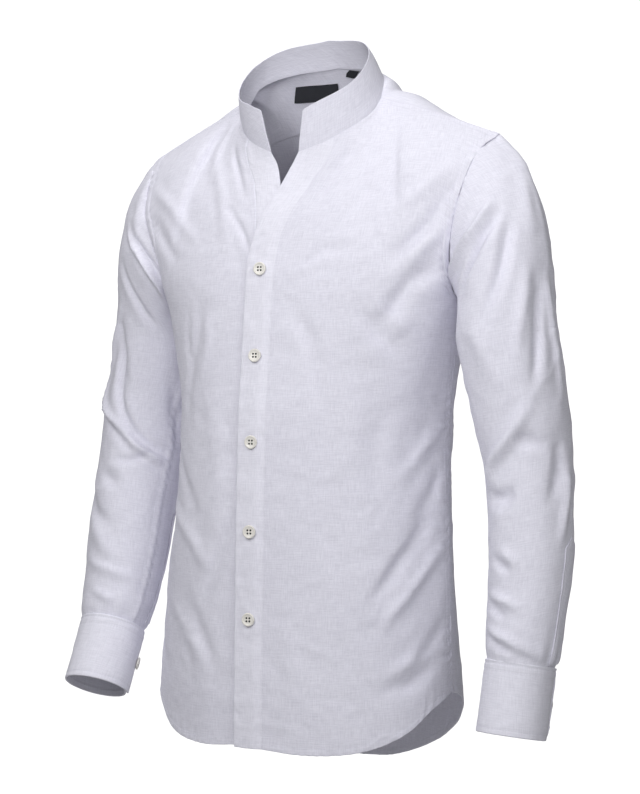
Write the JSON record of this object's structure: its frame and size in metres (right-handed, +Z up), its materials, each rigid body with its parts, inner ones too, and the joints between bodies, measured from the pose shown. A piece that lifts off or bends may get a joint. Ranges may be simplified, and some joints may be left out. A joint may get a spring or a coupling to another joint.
{
  "type": "flannel shirt",
  "caption": "Long-sleeved button shirt with an open stand collar, filled out as worn, hollow and open at neck, hem and cuffs.",
  "frame": {"origin": "middle of the neck base, at the height where the shoulder seams meet the collar: the place where the wearer's shoulders hold the shirt up", "axes": "+Z up, -Y the front with the buttons, +X towards the wearer's left"},
  "size_m": [0.6092, 0.2521, 0.819],
  "materials": {
    "cloth": "matt slubby cotton with a light brushed nap",
    "button": "ivory, softly polished",
    "label": "dark woven tape, blank"
  },
  "bodies": {
    "root": {"front_left": "cloth", "front_right": "cloth", "placket_left": "cloth", "button_band_right": "cloth", "yoke": "cloth", "back": "cloth", "collar": "cloth", "button_1": "button", "button_2": "button", "button_3": "button", "button_4": "button", "button_5": "button", "neck_label": "label", "size_tab": "label", "sleeve_left": "cloth", "sleeve_right": "cloth", "cuff_left": "cloth", "cuff_right": "cloth", "gauntlet_left": "cloth", "gauntlet_right": "cloth", "cuff_button_left": "button", "cuff_button_right": "button"}
  },
  "joints": []
}
